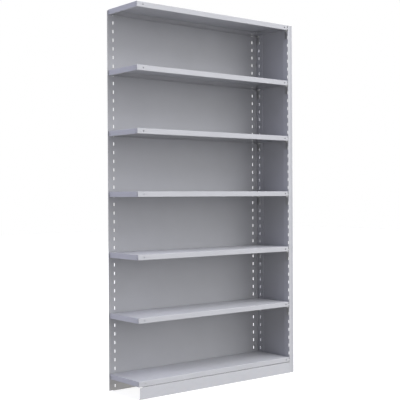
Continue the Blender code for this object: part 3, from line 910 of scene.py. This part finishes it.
def folded_tongue():
    """Stepped tongue behind the kick plate, which passes through the post's lowest slot."""
    sheet = settings().sheet
    kick = settings().kick
    post = settings().post
    low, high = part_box("kick_plate")
    right = BAY_RIGHT - kick.post_gap
    lap = low.y + sheet.thin + sheet.thin / 2
    depth = low.y + kick.tongue_depth
    step = right - kick.tongue_setback
    corners = [
        (right - kick.tongue_lap, lap), (step - kick.tongue_step, lap), (step, depth),
        (high.x, depth),
    ]
    fold = FoldLine(corners, sheet.bend - sheet.thin / 2)
    half = kick.tongue_height / 2
    strip = rectangle((0.0, post.slot_first - half), (fold.length, post.slot_first + half))
    outline = rounded_loop(strip, [sheet.bend] * len(strip), sheet.round_steps)
    return folded_sheet("kick_plate_tongue", fold, outline, [], sheet.thin, True)


class SHELVING_OT_fold_kick_plate(bpy.types.Operator):
    """Fold the kick plate and its tongue"""

    bl_idname = "shelving.fold_kick_plate"
    bl_label = "Fold Kick Plate"

    def execute(self, context):
        # The kick plate's coat is lighter than the shelves' coat: painted light for light from below.
        paint = powder_coat("kick_plate_powder_coat", settings().finish.kick_painted_light)
        plate = folded_kick_plate()
        tongue = folded_tongue()
        add_piece(plate.name, plate, paint, FRAME_BODY, ["kick_plate"])
        add_piece(tongue.name, tongue, paint, FRAME_BODY, [])
        return {"FINISHED"}


def stamped(outline, radii, sheet, turn):
    """A stamped outline with rounded edges, turned from the XY plane, as an object."""
    loop = rounded_loop(outline, radii, settings().sheet.round_steps)
    bm = cut_blank(loop, [], sheet, settings().clip.edge)
    bmesh.ops.transform(bm, matrix=turn, verts=bm.verts)
    mesh = finished_mesh(bm, "stamped")
    piece = bpy.data.objects.new("stamped", mesh)
    bpy.context.scene.collection.objects.link(piece)
    return piece


def clip_mesh():
    """Shelf clip about the corner of its box: plate, ledge with a rib, and hook."""
    clip = settings().clip
    low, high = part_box("shelf_clip_front_1")
    size = high - low
    wall = BAY_RIGHT - low.x
    plate_right = wall - clip.wall_gap
    plate_left = plate_right - clip.sheet
    ledge_top = size.z - clip.ledge_drop
    ledge_under = ledge_top - clip.sheet
    root = (plate_left + plate_right) / 2
    across = Matrix(((0, 0, 1, 0), (1, 0, 0, 0), (0, 1, 0, 0), (0, 0, 0, 1)))
    sideways = Matrix(((1, 0, 0, 0), (0, 0, 1, 0), (0, 1, 0, 0), (0, 0, 0, 1)))
    centred = Matrix.Translation((0, size.y / 2, 0)) @ sideways
    face = rectangle((0.0, 0.0), (size.y, size.z))
    plate = stamped(
        face, [clip.corner] * len(face), clip.sheet, Matrix.Translation((root, 0, 0)) @ across)
    tip = clip.sheet / 3
    root_low = ledge_under - 2 * clip.ledge_root
    ledge = stamped(
        [(0.0, ledge_under), (plate_left, ledge_under), (plate_left, root_low), (root, root_low),
         (root, ledge_top), (0.0, ledge_top)],
        [tip, clip.ledge_root, 0.0, 0.0, 0.0, tip], size.y - 2 * clip.ledge_inset, centred)
    rib_top = ledge_under + clip.edge * 2
    rib = stamped(
        [(plate_left - clip.rib_height, rib_top), (root, rib_top),
         (root, ledge_under - clip.rib_height * RIB_SLOPE)],
        [clip.edge, 0.0, 0.0], clip.rib_width, centred)
    hook_left = size.x - clip.sheet
    hook_top = size.z - clip.hook_top
    neck_low = hook_top - clip.neck
    hook_low = neck_low - clip.hook_drop
    hook = stamped(
        [(root, neck_low), (hook_left, neck_low), (hook_left, hook_low), (size.x, hook_low),
         (size.x, hook_top), (root, hook_top)],
        [0.0, clip.edge, clip.edge, tip, clip.sheet / 2, 0.0], clip.hook_width,
        Matrix.Translation((0, clip.hook_inset + clip.hook_width / 2, 0)) @ sideways)
    for part in (ledge, rib, hook):
        joined = plate.modifiers.new("Join", "BOOLEAN")
        joined.operation = "UNION"
        joined.object = part
    graph = bpy.context.evaluated_depsgraph_get()
    mesh = bpy.data.meshes.new_from_object(plate.evaluated_get(graph))
    mesh.name = "shelf_clip"
    for part in (plate, ledge, rib, hook):
        bpy.data.objects.remove(part)
    mesh.shade_smooth()
    mesh.set_sharp_from_angle(angle=SMOOTH_ANGLE)
    return mesh


class SHELVING_OT_stamp_clips(bpy.types.Operator):
    """Stamp the shelf clips and hook them into the posts"""

    bl_idname = "shelving.stamp_clips"
    bl_label = "Stamp Clips"

    def execute(self, context):
        zinc = zinc_plate("clip_bright_zinc")
        mesh = clip_mesh()
        for node in sorted(frame["nodes"]):
            if node.startswith("shelf_clip_"):
                place = Matrix.Translation(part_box(node)[0])
                add_piece(node + "_stamped", mesh, zinc, FRAME_BODY, [node], place)
        return {"FINISHED"}


def rivet_profile(reach):
    """Turned profile of a set rivet, from its head down to its closing head."""
    rivet = settings().rivet
    head = rivet.head / 2
    shank = rivet.shank / 2
    pit = rivet.pit / 2
    rim = pit * PIT_RIM
    quarter = [math.radians(90) * step / CROWN_STEPS for step in range(CROWN_STEPS + 1)]
    points = [
        (0.0, -rivet.pit_depth), (pit * PIT_FLOOR, -rivet.pit_depth),
        (pit, -rivet.pit_depth * PIT_CHAMFER),
    ]
    for angle in quarter:
        radius = rim + (head - rim) * math.sin(angle)
        points.append((radius, -(rivet.rise - rivet.rim) * (1 - math.cos(angle))))
    points += [(head, -rivet.rise), (shank, -rivet.rise), (shank, rivet.rise - reach)]
    for angle in quarter:
        radius = shank + (head - shank) * math.cos(angle)
        points.append((radius, rivet.rise - reach - rivet.rise * math.sin(angle)))
    points.append((0.0, -reach))
    return points


def rivet_mesh(reach):
    """A rivet turned about Z, with its head's top at the origin."""
    bm = bmesh.new()
    verts = [bm.verts.new((radius, 0.0, z)) for radius, z in rivet_profile(reach)]
    edges = [bm.edges.new(pair) for pair in zip(verts, verts[1:])]
    bmesh.ops.spin(
        bm, geom=[*verts, *edges], cent=(0, 0, 0), axis=(0, 0, 1), angle=math.tau,
        steps=settings().rivet.steps, use_merge=True)
    return finished_mesh(bm, "rivet")


class SHELVING_OT_set_rivets(bpy.types.Operator):
    """Set the rivets through the laps of the panels"""

    bl_idname = "shelving.set_rivets"
    bl_label = "Set Rivets"

    def execute(self, context):
        paint = powder_coat("rivet_powder_coat")
        low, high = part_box("rivet_back_1")
        mesh = rivet_mesh(high.y - low.y)
        for node in sorted(frame["nodes"]):
            if not node.startswith("rivet_"):
                continue
            low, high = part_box(node)
            middle = (low + high) / 2
            axis = 1 if node.startswith("rivet_back") else 0
            middle[axis] = low[axis]
            outward = Vector((0, 0, 0))
            outward[axis] = -1.0
            turn = Vector((0, 0, 1)).rotation_difference(outward).to_matrix().to_4x4()
            place = Matrix.Translation(middle) @ turn
            add_piece(node + "_set", mesh, paint, FRAME_BODY, [node], place)
        return {"FINISHED"}


def seen_rays(tree):
    """One for rays from the camera, off gloss or through glass, and zero for light on surfaces."""
    path = tree.nodes.new("ShaderNodeLightPath")
    total = path.outputs["Is Camera Ray"]
    for name in ("Is Glossy Ray", "Is Transmission Ray"):
        node = add_node(tree, "ShaderNodeMath", {0: total, 1: path.outputs[name]}, "MAXIMUM")
        total = node.outputs["Value"]
    return total


def build_world(stage):
    """White backdrop, with the soft light of a studio dome that is brightest at one side."""
    world = bpy.data.worlds.new("studio")
    bpy.context.scene.world = world
    world.use_nodes = True
    tree = world.node_tree
    light = tree.nodes["Background"]
    light.inputs["Color"].default_value = (*WHITE, 1.0)
    looking = tree.nodes.new("ShaderNodeTexCoord").outputs["Generated"]
    facing = add_node(tree, "ShaderNodeVectorMath", {0: looking}, "DOT_PRODUCT")
    facing.inputs[1].default_value = stage.dome_aim
    lobe = add_node(
        tree, "ShaderNodeMapRange", {"Value": facing.outputs["Value"]}, From_Min=0.0, From_Max=1.0,
        To_Max=stage.dome)
    tree.links.new(lobe.outputs["Result"], light.inputs["Strength"])
    white = add_node(tree, "ShaderNodeBackground", Color=(*WHITE, 1.0), Strength=1.0)
    shades = {1: light.outputs["Background"], 2: white.outputs["Background"]}
    mix = add_node(tree, "ShaderNodeMixShader", {"Fac": seen_rays(tree), **shades})
    tree.links.new(mix.outputs["Shader"], tree.nodes["World Output"].inputs["Surface"])


def lay_paper(stage, name, low, high, light):
    """Pale paper that is white to the camera where no shadow falls, and lights from below."""
    mesh = bpy.data.meshes.new(name)
    corners = [low, (high[0], low[1], low[2]), high, (low[0], high[1], low[2])]
    mesh.from_pydata(corners, [], [(0, 1, 2, 3)])
    paper = bpy.data.objects.new(name, mesh)
    bpy.context.scene.collection.objects.link(paper)
    material = bpy.data.materials.new(name + "_paper")
    material.use_nodes = True
    tree = material.node_tree
    tree.nodes.remove(tree.nodes["Principled BSDF"])
    matt = add_node(tree, "ShaderNodeBsdfDiffuse", Color=(*stage.floor, 1.0))
    mix = add_node(tree, "ShaderNodeMixShader", {"Fac": seen_rays(tree)})
    for place, tint, strength in ((1, stage.floor_tint, light), (2, WHITE, stage.floor_glow)):
        glow = add_node(tree, "ShaderNodeEmission", Color=(*tint, 1.0), Strength=strength)
        both = {0: matt.outputs["BSDF"], 1: glow.outputs["Emission"]}
        lit = add_node(tree, "ShaderNodeAddShader", both)
        tree.links.new(lit.outputs["Shader"], mix.inputs[place])
    tree.links.new(mix.outputs["Shader"], tree.nodes["Material Output"].inputs["Surface"])
    mesh.materials.append(material)


def build_floor(stage):
    """Floor under the whole scene, and a white card on it under the open end of the bay."""
    reach = stage.floor_size / 2
    drop = stage.floor_gap
    lay_paper(stage, "floor", (-reach, -reach, -drop), (reach, reach, -drop), stage.floor_light)
    margin = stage.card_margin
    card_low = (CAD_LOW.x, CAD_LOW.y + margin, -drop / 2)
    card_high = (CAD_LOW.x + stage.card_length, CAD_HIGH.y - margin, -drop / 2)
    lay_paper(stage, "card", card_low, card_high, stage.card_light)


def add_lamp(name, place, size, watts, tint):
    """A square soft lamp that faces the middle of the bay."""
    lamp = bpy.data.lights.new(name, "AREA")
    lamp.shape = "SQUARE"
    lamp.size = size
    lamp.energy = watts
    lamp.color = tint
    holder = bpy.data.objects.new(name, lamp)
    holder.location = place
    aim = (CAD_LOW + CAD_HIGH) / 2 - Vector(place)
    holder.rotation_euler = aim.to_track_quat("-Z", "Y").to_euler()
    holder.visible_camera = False
    bpy.context.scene.collection.objects.link(holder)


def build_camera(stage):
    """Camera at the picture's place and angle."""
    camera = bpy.data.cameras.new("camera")
    camera.lens = stage.lens
    holder = bpy.data.objects.new("camera", camera)
    yawed = Matrix.Rotation(-stage.yaw, 4, "Z")
    pitched = Matrix.Rotation(math.radians(90) + stage.pitch, 4, "X")
    turn = yawed @ pitched @ Matrix.Rotation(stage.roll, 4, "Z")
    holder.matrix_world = Matrix.Translation(stage.eye) @ turn
    bpy.context.scene.collection.objects.link(holder)
    bpy.context.scene.camera = holder


class SHELVING_OT_set_stage(bpy.types.Operator):
    """Set up the floor, the lamps, the white backdrop and the camera"""

    bl_idname = "shelving.set_stage"
    bl_label = "Set Stage"

    def execute(self, context):
        stage = settings().stage
        context.scene.view_settings.view_transform = "Standard"
        build_world(stage)
        build_floor(stage)
        size = stage.lamp_size
        add_lamp("front_lamp", stage.front_place, size, stage.front_lamp, stage.front_tint)
        add_lamp("left_lamp", stage.left_place, size, stage.left_lamp, stage.left_tint)
        add_lamp("back_lamp", stage.back_place, size, stage.back_lamp, stage.front_tint)
        build_camera(stage)
        return {"FINISHED"}


PIECE_OPERATORS = (
    SHELVING_OT_fold_shelves,
    SHELVING_OT_roll_posts,
    SHELVING_OT_cut_panels,
    SHELVING_OT_fold_kick_plate,
    SHELVING_OT_stamp_clips,
    SHELVING_OT_set_rivets,
)


class SHELVING_PT_bay(bpy.types.Panel):
    """Lists the steps that make the bay and its settings"""

    bl_idname = "SHELVING_PT_bay"
    bl_label = "Shelving Bay"
    bl_space_type = "VIEW_3D"
    bl_region_type = "UI"
    bl_category = "Shelving"

    def draw(self, context):
        steps = self.layout.column(align=True)
        for operator in (*PIECE_OPERATORS, SHELVING_OT_set_stage):
            steps.operator(operator.bl_idname)
        bay = context.scene.shelving_bay
        for part in BaySettings.__annotations__:
            values = getattr(bay, part)
            box = self.layout.box()
            for name in type(values).__annotations__:
                box.prop(values, name)


CLASSES = (
    SheetSettings, ShelfSettings, PostSettings, PanelSettings, KickPlateSettings, ClipSettings,
    RivetSettings, FinishSettings, StageSettings, BaySettings, *PIECE_OPERATORS,
    SHELVING_OT_set_stage, SHELVING_PT_bay,
)


def register():
    """Add the classes and the bay's settings."""
    for item in CLASSES:
        bpy.utils.register_class(item)
    bpy.types.Scene.shelving_bay = PointerProperty(
        type=BaySettings, name="Shelving bay", description="Sizes, finish and stage of the bay")


def unregister():
    """Take the classes and the bay's settings away."""
    del bpy.types.Scene.shelving_bay
    for item in reversed(CLASSES):
        bpy.utils.unregister_class(item)


def main():
    """Make every piece and the stage."""
    register()
    bpy.ops.shelving.fold_shelves()
    bpy.ops.shelving.roll_posts()
    bpy.ops.shelving.cut_panels()
    bpy.ops.shelving.fold_kick_plate()
    bpy.ops.shelving.stamp_clips()
    bpy.ops.shelving.set_rivets()
    bpy.ops.shelving.set_stage()


if __name__ == "__main__":
    main()
